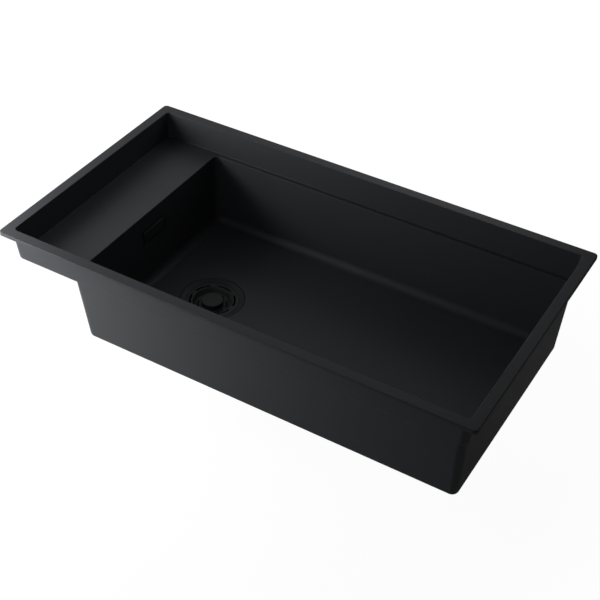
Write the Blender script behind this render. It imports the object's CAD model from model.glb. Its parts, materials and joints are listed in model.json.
import json
import math

import bpy
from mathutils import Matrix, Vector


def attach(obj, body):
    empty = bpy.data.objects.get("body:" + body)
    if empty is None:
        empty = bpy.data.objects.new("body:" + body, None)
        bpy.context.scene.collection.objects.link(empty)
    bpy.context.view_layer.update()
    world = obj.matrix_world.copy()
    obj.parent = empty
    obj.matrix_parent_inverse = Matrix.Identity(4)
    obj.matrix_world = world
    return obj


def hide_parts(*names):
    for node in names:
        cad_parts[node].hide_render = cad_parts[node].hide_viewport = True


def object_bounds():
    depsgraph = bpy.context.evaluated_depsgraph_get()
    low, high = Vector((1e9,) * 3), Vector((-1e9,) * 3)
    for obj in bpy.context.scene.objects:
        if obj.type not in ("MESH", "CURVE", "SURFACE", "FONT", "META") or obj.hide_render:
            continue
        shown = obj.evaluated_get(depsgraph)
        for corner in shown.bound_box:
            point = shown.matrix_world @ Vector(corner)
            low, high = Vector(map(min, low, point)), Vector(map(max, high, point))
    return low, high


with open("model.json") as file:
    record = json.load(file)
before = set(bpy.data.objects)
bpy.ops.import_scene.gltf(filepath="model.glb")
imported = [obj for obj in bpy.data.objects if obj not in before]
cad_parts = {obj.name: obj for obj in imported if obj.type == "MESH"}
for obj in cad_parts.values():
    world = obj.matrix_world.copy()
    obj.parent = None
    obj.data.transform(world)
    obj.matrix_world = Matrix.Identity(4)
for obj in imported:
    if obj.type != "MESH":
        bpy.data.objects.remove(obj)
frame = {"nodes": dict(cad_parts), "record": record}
cad_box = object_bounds()

# Lengths are in metres, angles in degrees and lamp powers in watts, where nothing else is said

# Camera: lens and sensor in millimetres, shift as a share of the sensor
camera_place = (0.8103, -1.4197, 1.2462)
camera_turn = (50.194, -0.894, 31.350)
camera_lens = 75.296
camera_sensor = 36.0
camera_shift = 0.0333
camera_reach = 20.0

# Studio: the floor's glow is a share of full white, less near the sink than further off
floor_size = 9.0
floor_gap = 0.0005
floor_colour = (0.86, 0.86, 0.855)
floor_roughness = 0.9
glow_near_share = 0.89
glow_near_reach = 0.6
glow_far_share = 1.0
glow_far_reach = 1.5
backdrop_colour = (1.0, 1.0, 1.0)
backdrop_white = 1.08
backdrop_in_gloss = 0.04
room_light = 0.03
lamp_target = (0.0, 0.0, -0.05)

# Lamps: turn round the sink from its right end, height angle, distance, width and power
lamps = {
    "left_softbox": (195, 15, 0.75, 0.4, 1.45),
    "left_upper_softbox": (190, 30, 0.9, 0.5, 0.6),
    "front_left_low_softbox": (215, 5, 0.75, 0.4, 2.9),
    "front_upper_softbox": (240, 40, 0.75, 0.3, 0.35),
    "back_left_softbox": (135, 25, 1.5, 0.8, 1.0),
    "back_left_upper_softbox": (135, 50, 1.5, 0.8, 0.18),
    "back_wide_softbox": (110, 35, 1.5, 0.8, 0.83),
    "back_softbox": (90, 30, 1.0, 0.5, 0.5),
    "back_low_softbox": (105, 20, 1.2, 0.6, 0.55),
    "back_upper_softbox": (90, 60, 1.5, 0.8, 0.33),
}

# Overflow hose: its two ends, the corner between them and its ribs
hose_first = (-0.3215, 0.0015, -0.1131)
hose_corner = (-0.3122, 0.0015, -0.2190)
hose_last = (-0.2268, -0.0051, -0.2190)
hose_bend_radius = 0.055
hose_radius = 0.010
hose_valley_depth = 0.0015
hose_wall = 0.0008
hose_wall_inwards = -1
hose_cuff_length = 0.021
hose_rib_pitch = 0.0042
hose_sides = 40
hose_bend_steps = 24
hose_ring_reach = 0.00002
hose_smooth_angle = 50.0
# Place along one rib and height above the valley, as shares of the pitch and of the depth
hose_rib_shares = (
    (0.0, 0.97), (0.06, 0.84), (0.11, 0.5), (0.17, 0.14), (0.23, 0.02), (0.30, 0.0),
    (0.37, 0.02), (0.43, 0.14), (0.49, 0.5), (0.54, 0.84), (0.60, 0.97), (0.80, 1.0), (1.0, 0.97),
)

# Textures that the finishes share
millimetre = 0.001
grain_detail = 3.0
cloud_detail = 4.0
skin_noise_roughness = 0.6
drain_centre = (-0.163, -0.010, 0.0)
line_detail = 2.0
line_noise_roughness = 0.7
waver_scale = 40.0
waver_detail = 1.0

# Pale flecks of the composite: core and edge are distances from a fleck's middle, as shares of its cell
fleck_colour = (0.130, 0.134, 0.140)
flecks_in_a_metre = 900.0
fleck_core = 0.12
fleck_edge = 0.2
fleck_strength = 0.22

# Finishes, one for each material slot of the record. Colours are linear.
# Roughness goes from the low end of its texture to the high end.
# Grain, cloud and line sizes and relief heights are in millimetres.
finishes = {
    "black_composite": {
        "dark": (0.0440, 0.0470, 0.0525),
        "light": (0.0575, 0.0615, 0.0690),
        "roughness": (0.46, 0.54),
        "metallic": 0.0,
        "specular": 0.25,
        "grain_size": 0.7,
        "cloud_size": 90.0,
        "relief_height": 0.04,
        "relief_strength": 0.5,
    },
    "black_coated_steel": {
        "dark": (0.038, 0.040, 0.044),
        "light": (0.046, 0.048, 0.052),
        "roughness": (0.38, 0.5),
        "metallic": 0.0,
        "specular": 0.25,
        "grain_size": 0.25,
        "cloud_size": 25.0,
        "line_spacing": 0.35,
        "line_waver": 0.3,
        "relief_height": 0.01,
        "relief_strength": 0.4,
    },
    "stainless_steel": {
        "dark": (0.5, 0.5, 0.49),
        "light": (0.66, 0.66, 0.65),
        "roughness": (0.22, 0.42),
        "metallic": 1.0,
        "specular": 0.5,
        "line_spacing": 0.18,
        "line_waver": 0.15,
        "relief_height": 0.01,
        "relief_strength": 0.5,
    },
    "brass": {
        "dark": (0.45, 0.29, 0.1),
        "light": (0.68, 0.48, 0.2),
        "roughness": (0.45, 0.28),
        "metallic": 1.0,
        "specular": 0.5,
        "grain_size": 0.3,
        "cloud_size": 6.0,
        "relief_height": 0.01,
        "relief_strength": 0.4,
    },
    "black_rubber": {
        "dark": (0.012, 0.012, 0.012),
        "light": (0.024, 0.024, 0.023),
        "roughness": (0.72, 0.88),
        "metallic": 0.0,
        "specular": 0.3,
        "grain_size": 0.4,
        "cloud_size": 8.0,
        "relief_height": 0.03,
        "relief_strength": 0.5,
    },
    "black_plastic": {
        "dark": (0.040, 0.042, 0.045),
        "light": (0.049, 0.051, 0.054),
        "roughness": (0.22, 0.3),
        "metallic": 0.0,
        "specular": 0.4,
        "grain_size": 0.4,
        "cloud_size": 18.0,
        "relief_height": 0.02,
        "relief_strength": 0.4,
    },
    "white_plastic": {
        "dark": (0.72, 0.72, 0.70),
        "light": (0.79, 0.79, 0.77),
        "roughness": (0.36, 0.46),
        "metallic": 0.0,
        "specular": 0.4,
        "grain_size": 0.5,
        "cloud_size": 18.0,
        "relief_height": 0.02,
        "relief_strength": 0.4,
    },
    "grey_plastic": {
        "dark": (0.27, 0.275, 0.285),
        "light": (0.33, 0.335, 0.345),
        "roughness": (0.4, 0.52),
        "metallic": 0.0,
        "specular": 0.4,
        "grain_size": 0.5,
        "cloud_size": 18.0,
        "relief_height": 0.02,
        "relief_strength": 0.4,
    },
}

# Sockets of a Mix node that mixes colours, which can't be told apart by name
mix_share = 0
mix_from = 6
mix_to = 7
mix_result = 2
opaque = 1.0


# Small helpers for shader trees


def add_node(tree, kind, values=None, **settings):
    """Adds a node, sets its own settings and the values of its sockets."""
    made = tree.nodes.new(kind)
    for name, value in settings.items():
        setattr(made, name, value)
    for name, value in (values or {}).items():
        made.inputs[name].default_value = value
    return made


def join(tree, start, end):
    tree.links.new(start, end)


def new_group(name, inputs, outputs):
    """A shader group with named number inputs and named outputs."""
    tree = bpy.data.node_groups.new(name, "ShaderNodeTree")
    for socket in inputs:
        tree.interface.new_socket(socket, in_out="INPUT", socket_type="NodeSocketFloat")
    for socket in outputs:
        tree.interface.new_socket(socket, in_out="OUTPUT", socket_type="NodeSocketFloat")
    start = tree.nodes.new("NodeGroupInput")
    end = tree.nodes.new("NodeGroupOutput")
    return tree, start, end


def texture_scale(tree, size):
    """Turns a size in millimetres into a texture's scale, which is how many go in a metre."""
    made = add_node(tree, "ShaderNodeMath", operation="DIVIDE")
    made.inputs[0].default_value = 1 / millimetre
    join(tree, size, made.inputs[1])
    return made.outputs[0]


# Shader groups that several finishes share


def build_fine_skin():
    """Fine even texture of a moulded or coated surface, with large soft clouds beside its grain."""
    tree, start, end = new_group("Fine skin", ["Grain size", "Cloud size"], ["Grain", "Cloud"])
    place = add_node(tree, "ShaderNodeTexCoord")
    layers = (("Grain size", "Grain", grain_detail), ("Cloud size", "Cloud", cloud_detail))
    for size, output, detail in layers:
        noise = add_node(
            tree, "ShaderNodeTexNoise", {"Detail": detail, "Roughness": skin_noise_roughness})
        join(tree, texture_scale(tree, start.outputs[size]), noise.inputs["Scale"])
        join(tree, place.outputs["Object"], noise.inputs["Vector"])
        join(tree, noise.outputs["Fac"], end.inputs[output])
    return tree


def build_turned_lines():
    """Fine rings round the drain's axis, as a lathe or a polishing wheel leaves them."""
    tree, start, end = new_group("Turned lines", ["Line spacing", "Waver"], ["Lines"])
    place = add_node(tree, "ShaderNodeTexCoord")
    centre = add_node(tree, "ShaderNodeMapping")
    centre.inputs["Location"].default_value = tuple(-value for value in drain_centre)
    parts = add_node(tree, "ShaderNodeSeparateXYZ")
    flat = add_node(tree, "ShaderNodeCombineXYZ")
    radius = add_node(tree, "ShaderNodeVectorMath", operation="LENGTH")
    total = add_node(tree, "ShaderNodeMath", operation="ADD")
    lines = add_node(
        tree, "ShaderNodeTexNoise", {"Detail": line_detail, "Roughness": line_noise_roughness},
        noise_dimensions="1D")
    drift = add_node(tree, "ShaderNodeTexNoise", {"Scale": waver_scale, "Detail": waver_detail})
    soft = add_node(tree, "ShaderNodeMath", operation="MULTIPLY")
    blend = add_node(tree, "ShaderNodeMath", operation="ADD")
    join(tree, place.outputs["Object"], centre.inputs["Vector"])
    join(tree, centre.outputs["Vector"], parts.inputs["Vector"])
    join(tree, parts.outputs["X"], flat.inputs["X"])
    join(tree, parts.outputs["Y"], flat.inputs["Y"])
    join(tree, flat.outputs["Vector"], radius.inputs[0])
    join(tree, radius.outputs["Value"], total.inputs[0])
    join(tree, parts.outputs["Z"], total.inputs[1])
    join(tree, total.outputs[0], lines.inputs["W"])
    join(tree, texture_scale(tree, start.outputs["Line spacing"]), lines.inputs["Scale"])
    join(tree, place.outputs["Object"], drift.inputs["Vector"])
    join(tree, drift.outputs["Fac"], soft.inputs[0])
    join(tree, start.outputs["Waver"], soft.inputs[1])
    join(tree, lines.outputs["Fac"], blend.inputs[0])
    join(tree, soft.outputs[0], blend.inputs[1])
    join(tree, blend.outputs[0], end.inputs["Lines"])
    return tree


fine_skin = build_fine_skin()
turned_lines = build_turned_lines()


# Steps that the finishes share


def new_material(name, metallic, specular):
    """A material with its shader and nothing else yet."""
    material = bpy.data.materials.new(name)
    material.use_nodes = True
    tree = material.node_tree
    shader = tree.nodes["Principled BSDF"]
    shader.inputs["Metallic"].default_value = metallic
    shader.inputs["Specular IOR Level"].default_value = specular
    return material, tree, shader


def start_finish(name):
    """The material of a finish, with the finish's own values beside it."""
    finish = finishes[name]
    material, tree, shader = new_material(name, finish["metallic"], finish["specular"])
    return finish, material, tree, shader


def add_fine_skin(tree, finish):
    values = {"Grain size": finish["grain_size"], "Cloud size": finish["cloud_size"]}
    return add_node(tree, "ShaderNodeGroup", values, node_tree=fine_skin)


def add_turned_lines(tree, finish):
    values = {"Line spacing": finish["line_spacing"], "Waver": finish["line_waver"]}
    return add_node(tree, "ShaderNodeGroup", values, node_tree=turned_lines)


def dark_to_light(tree, finish, texture):
    """The finish's colour, dark where the texture is low and light where it is high."""
    mix = add_node(tree, "ShaderNodeMix", data_type="RGBA")
    mix.inputs[mix_from].default_value = (*finish["dark"], opaque)
    mix.inputs[mix_to].default_value = (*finish["light"], opaque)
    join(tree, texture, mix.inputs[mix_share])
    return mix.outputs[mix_result]


def roughen(tree, shader, finish, texture):
    """Spreads a texture over the finish's roughness."""
    low, high = finish["roughness"]
    made = add_node(tree, "ShaderNodeMapRange", {"To Min": low, "To Max": high})
    join(tree, texture, made.inputs["Value"])
    join(tree, made.outputs["Result"], shader.inputs["Roughness"])


def raise_relief(tree, shader, finish, texture):
    """Raises the surface a little where the texture is high."""
    height = finish["relief_height"] * millimetre
    made = add_node(tree, "ShaderNodeBump", {"Distance": height, "Strength": finish["relief_strength"]})
    join(tree, texture, made.inputs["Height"])
    join(tree, made.outputs["Normal"], shader.inputs["Normal"])


# Finishes


def black_composite():
    """Cast quartz and resin, satin black, with fine grains and small paler flecks."""
    finish, material, tree, shader = start_finish("black_composite")
    skin = add_fine_skin(tree, finish)
    base = dark_to_light(tree, finish, skin.outputs["Grain"])
    place = add_node(tree, "ShaderNodeTexCoord")
    fleck = add_node(tree, "ShaderNodeTexVoronoi", {"Scale": flecks_in_a_metre})
    fleck_share = add_node(tree, "ShaderNodeMapRange", {
        "From Min": fleck_core, "From Max": fleck_edge, "To Min": fleck_strength, "To Max": 0.0})
    flecked = add_node(tree, "ShaderNodeMix", data_type="RGBA")
    flecked.inputs[mix_to].default_value = (*fleck_colour, opaque)
    join(tree, place.outputs["Object"], fleck.inputs["Vector"])
    join(tree, fleck.outputs["Distance"], fleck_share.inputs["Value"])
    join(tree, fleck_share.outputs["Result"], flecked.inputs[mix_share])
    join(tree, base, flecked.inputs[mix_from])
    join(tree, flecked.outputs[mix_result], shader.inputs["Base Color"])
    roughen(tree, shader, finish, skin.outputs["Cloud"])
    raise_relief(tree, shader, finish, skin.outputs["Grain"])
    return material


def black_coated_steel():
    """Stainless steel under a satin black coating, with the polishing rings just showing."""
    finish, material, tree, shader = start_finish("black_coated_steel")
    lines = add_turned_lines(tree, finish)
    skin = add_fine_skin(tree, finish)
    join(tree, dark_to_light(tree, finish, skin.outputs["Cloud"]), shader.inputs["Base Color"])
    roughen(tree, shader, finish, lines.outputs["Lines"])
    raise_relief(tree, shader, finish, skin.outputs["Grain"])
    return material


def stainless_steel():
    """Bare turned steel of the screws, the stem, and the plug's plate and nut."""
    finish, material, tree, shader = start_finish("stainless_steel")
    lines = add_turned_lines(tree, finish)
    join(tree, dark_to_light(tree, finish, lines.outputs["Lines"]), shader.inputs["Base Color"])
    roughen(tree, shader, finish, lines.outputs["Lines"])
    raise_relief(tree, shader, finish, lines.outputs["Lines"])
    return material


def clouded_finish(name):
    """Brass, rubber or plastic: colour and gloss drift softly over a fine grain."""
    finish, material, tree, shader = start_finish(name)
    skin = add_fine_skin(tree, finish)
    join(tree, dark_to_light(tree, finish, skin.outputs["Cloud"]), shader.inputs["Base Color"])
    roughen(tree, shader, finish, skin.outputs["Cloud"])
    raise_relief(tree, shader, finish, skin.outputs["Grain"])
    return material


materials = {
    "black_composite": black_composite(),
    "black_coated_steel": black_coated_steel(),
    "stainless_steel": stainless_steel(),
}
for clouded in ("brass", "black_rubber", "black_plastic", "white_plastic", "grey_plastic"):
    materials[clouded] = clouded_finish(clouded)


# Overflow hose, the one CAD piece that a new mesh replaces


def select_ring(mesh, place):
    """Selects the points of the ring that stands at a place along X."""
    bpy.ops.mesh.select_all(action="DESELECT")
    bpy.ops.object.mode_set(mode="OBJECT")
    for point in mesh.vertices:
        point.select = abs(point.co.x - place) < hose_ring_reach
    bpy.ops.object.mode_set(mode="EDIT")


def draw_ring_out(step, place, change):
    """Extrudes the selected ring along X by a step, to a place, and changes its radius."""
    bpy.ops.mesh.extrude_region_move(TRANSFORM_OT_translate={"value": (step, 0, 0)})
    bpy.ops.transform.resize(value=(1, change, change), center_override=(place, 0, 0))


def hose_line():
    """The line of the hose: straight out of both joints, with one round bend between them."""
    first, corner, last = (Vector(place) for place in (hose_first, hose_corner, hose_last))
    down = (corner - first).normalized()
    along = (last - corner).normalized()
    turn = down.angle(along)
    # The bend takes this much of each run, and handles of this length make it round
    reach = hose_bend_radius * math.tan(turn / 2)
    handle = hose_bend_radius * math.tan(turn / 4) * 4 / 3
    bend_start = corner - down * reach
    bend_end = corner + along * reach
    places = (
        (first, first - down * handle, first + down * handle),
        (bend_start, bend_start - down * handle, bend_start + down * handle),
        (bend_end, bend_end - along * handle, bend_end + along * handle),
        (last, last - along * handle, last + along * handle),
    )
    bpy.ops.object.select_all(action="DESELECT")
    bpy.ops.curve.primitive_bezier_curve_add()
    line = bpy.context.view_layer.objects.active
    points = line.data.splines[0].bezier_points
    points.add(len(places) - len(points))
    for point, (middle, before, after) in zip(points, places):
        point.handle_left_type = "FREE"
        point.handle_right_type = "FREE"
        point.co = middle
        point.handle_left = before
        point.handle_right = after
    line.data.dimensions = "3D"
    line.data.resolution_u = hose_bend_steps
    length = (bend_start - first).length + hose_bend_radius * turn + (last - bend_end).length
    return line, length


def straight_hose(ribbed):
    """The hose's outer skin along X: one rib drawn out, repeated, and a plain cuff at both ends."""
    count = round(ribbed / hose_rib_pitch)
    pitch = ribbed / count
    valley = hose_radius - hose_valley_depth
    rings = [(place * pitch, valley + height * hose_valley_depth) for place, height in hose_rib_shares]
    bpy.ops.object.select_all(action="DESELECT")
    bpy.ops.mesh.primitive_circle_add(
        vertices=hose_sides, radius=rings[0][1], rotation=(0, math.pi / 2, 0))
    hose = bpy.context.view_layer.objects.active
    hose.name = "ribbed_hose"
    bpy.ops.object.transform_apply(location=True, rotation=True, scale=True)
    bpy.ops.object.mode_set(mode="EDIT")
    bpy.ops.mesh.select_all(action="SELECT")
    for (place, radius), (next_place, next_radius) in zip(rings, rings[1:]):
        draw_ring_out(next_place - place, next_place, next_radius / radius)
    bpy.ops.object.mode_set(mode="OBJECT")
    repeat = hose.modifiers.new("ribs", "ARRAY")
    repeat.count = count
    repeat.use_relative_offset = False
    repeat.use_constant_offset = True
    repeat.constant_offset_displace = (pitch, 0, 0)
    repeat.use_merge_vertices = True
    repeat.merge_threshold = hose_ring_reach
    bpy.ops.object.modifier_apply(modifier=repeat.name)
    bpy.ops.object.mode_set(mode="EDIT")
    select_ring(hose.data, ribbed)
    draw_ring_out(hose_cuff_length, ribbed + hose_cuff_length, change=1)
    select_ring(hose.data, 0)
    draw_ring_out(-hose_cuff_length, -hose_cuff_length, change=1)
    bpy.ops.mesh.select_all(action="SELECT")
    bpy.ops.transform.translate(value=(hose_cuff_length, 0, 0))
    bpy.ops.mesh.normals_make_consistent(inside=False)
    bpy.ops.object.mode_set(mode="OBJECT")
    return hose


def overflow_hose():
    """Corrugated hose with round-edged ribs, a wall, and a plain cuff at both ends."""
    line, length = hose_line()
    hose = straight_hose(length - 2 * hose_cuff_length)
    wall = hose.modifiers.new("wall", "SOLIDIFY")
    wall.thickness = hose_wall
    wall.offset = hose_wall_inwards
    bpy.ops.object.modifier_apply(modifier=wall.name)
    bend = hose.modifiers.new("bend", "CURVE")
    bend.object = line
    bend.deform_axis = "POS_X"
    bpy.ops.object.modifier_apply(modifier=bend.name)
    bpy.ops.object.shade_smooth_by_angle(angle=math.radians(hose_smooth_angle))
    bpy.data.objects.remove(line)
    hose.data.materials.append(materials["grey_plastic"])
    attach(hose, "sink")
    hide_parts("overflow_hose")


# Finishes on the CAD pieces


def finish_cad_pieces():
    """Gives every CAD piece the finish of its slot in the record."""
    slot_of = {part["node"]: part["material_slot"] for part in frame["record"]["subparts"]}
    for node, piece in frame["nodes"].items():
        piece.data.materials.clear()
        piece.data.materials.append(materials[slot_of[node]])


# Studio


def seen_as_backdrop(tree):
    """How white a surface looks: full white to the camera, much dimmer in gloss and through glass."""
    path = add_node(tree, "ShaderNodeLightPath")
    in_gloss = add_node(tree, "ShaderNodeMath", operation="MAXIMUM")
    gloss_level = add_node(tree, "ShaderNodeMath", operation="MULTIPLY")
    gloss_level.inputs[1].default_value = backdrop_in_gloss
    level = add_node(tree, "ShaderNodeMath", operation="MAXIMUM")
    join(tree, path.outputs["Is Glossy Ray"], in_gloss.inputs[0])
    join(tree, path.outputs["Is Transmission Ray"], in_gloss.inputs[1])
    join(tree, in_gloss.outputs[0], gloss_level.inputs[0])
    join(tree, path.outputs["Is Camera Ray"], level.inputs[0])
    join(tree, gloss_level.outputs[0], level.inputs[1])
    return level.outputs[0]


def set_floor():
    """A pale floor that takes the sink's shadow near it and is plain white further off."""
    low = cad_box[0][2] - floor_gap
    bpy.ops.mesh.primitive_plane_add(size=floor_size, location=(0, 0, low))
    floor = bpy.context.view_layer.objects.active
    floor.name = "studio_floor"
    bpy.ops.object.transform_apply(location=True, rotation=True, scale=True)
    material, tree, shader = new_material("studio_floor", metallic=0.0, specular=0.0)
    shader.inputs["Base Color"].default_value = (*floor_colour, opaque)
    shader.inputs["Roughness"].default_value = floor_roughness
    output = tree.nodes["Material Output"]
    place = add_node(tree, "ShaderNodeTexCoord")
    away = add_node(tree, "ShaderNodeVectorMath", operation="LENGTH")
    share = add_node(tree, "ShaderNodeMapRange", {
        "From Min": glow_near_reach, "From Max": glow_far_reach,
        "To Min": glow_near_share, "To Max": glow_far_share})
    glow = add_node(tree, "ShaderNodeEmission", {"Strength": backdrop_white})
    seen = add_node(tree, "ShaderNodeMath", operation="MULTIPLY")
    mix = add_node(tree, "ShaderNodeMixShader")
    join(tree, place.outputs["Object"], away.inputs[0])
    join(tree, away.outputs["Value"], share.inputs["Value"])
    join(tree, share.outputs["Result"], seen.inputs[0])
    join(tree, seen_as_backdrop(tree), seen.inputs[1])
    join(tree, seen.outputs[0], mix.inputs[0])
    join(tree, shader.outputs[0], mix.inputs[1])
    join(tree, glow.outputs[0], mix.inputs[2])
    join(tree, mix.outputs[0], output.inputs["Surface"])
    floor.data.materials.append(material)


def set_world():
    """White where the camera looks past the sink, a faint grey in its gloss, and a dim room light."""
    world = bpy.data.worlds.new("studio")
    bpy.context.scene.world = world
    world.use_nodes = True
    tree = world.node_tree
    sky = tree.nodes["Background"]
    sky.inputs["Color"].default_value = (*backdrop_colour, opaque)
    level = add_node(tree, "ShaderNodeMath", operation="MAXIMUM")
    level.inputs[1].default_value = room_light
    join(tree, seen_as_backdrop(tree), level.inputs[0])
    join(tree, level.outputs[0], sky.inputs["Strength"])


def set_lamps():
    """Round soft lamps, all turned to the sink and none of them seen by the camera."""
    target = Vector(lamp_target)
    for name, (turn, height, distance, width, power) in lamps.items():
        around = math.radians(turn)
        up = math.radians(height)
        away = Vector((math.cos(around) * math.cos(up), math.sin(around) * math.cos(up), math.sin(up)))
        bpy.ops.object.light_add(type="AREA", location=target + away * distance)
        lamp = bpy.context.view_layer.objects.active
        lamp.name = name
        lamp.rotation_euler = away.to_track_quat("Z", "Y").to_euler()
        lamp.data.shape = "DISK"
        lamp.data.size = width
        lamp.data.energy = power
        lamp.visible_camera = False


def set_camera():
    """The view of the photo, from the front right and above."""
    bpy.ops.object.camera_add(location=camera_place, rotation=[math.radians(turn) for turn in camera_turn])
    camera = bpy.context.view_layer.objects.active
    camera.name = "photo_camera"
    camera.data.sensor_width = camera_sensor
    camera.data.lens = camera_lens
    camera.data.shift_x = camera_shift
    camera.data.clip_end = camera_reach
    bpy.context.scene.camera = camera


finish_cad_pieces()
overflow_hose()
set_floor()
set_world()
set_lamps()
set_camera()
bpy.context.scene.view_settings.view_transform = "Standard"
